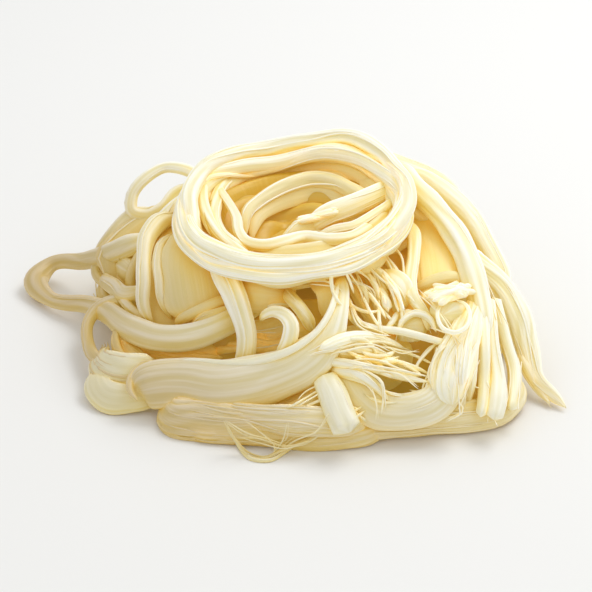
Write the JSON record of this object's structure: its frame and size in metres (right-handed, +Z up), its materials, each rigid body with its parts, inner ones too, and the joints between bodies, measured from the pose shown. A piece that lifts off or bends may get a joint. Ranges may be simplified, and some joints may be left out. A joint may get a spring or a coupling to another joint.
{
  "type": "string cheese heap",
  "caption": "Loose heap of pulled braided string cheese: a coiled strand on top, wide ribbons, side loops, torn ends and thin shreds, resting on a flat underside.",
  "frame": {"origin": "centre of the bounding box in plan, on the table plane that the heap rests on", "axes": "+Z up, -Y towards the front of the heap, +X to the right along its longest extent"},
  "size_m": [0.1353, 0.0955, 0.0425],
  "materials": {
    "cheese": "moist satin, creamy and slightly translucent"
  },
  "bodies": {
    "root": {"string_cheese": "cheese"}
  },
  "joints": []
}
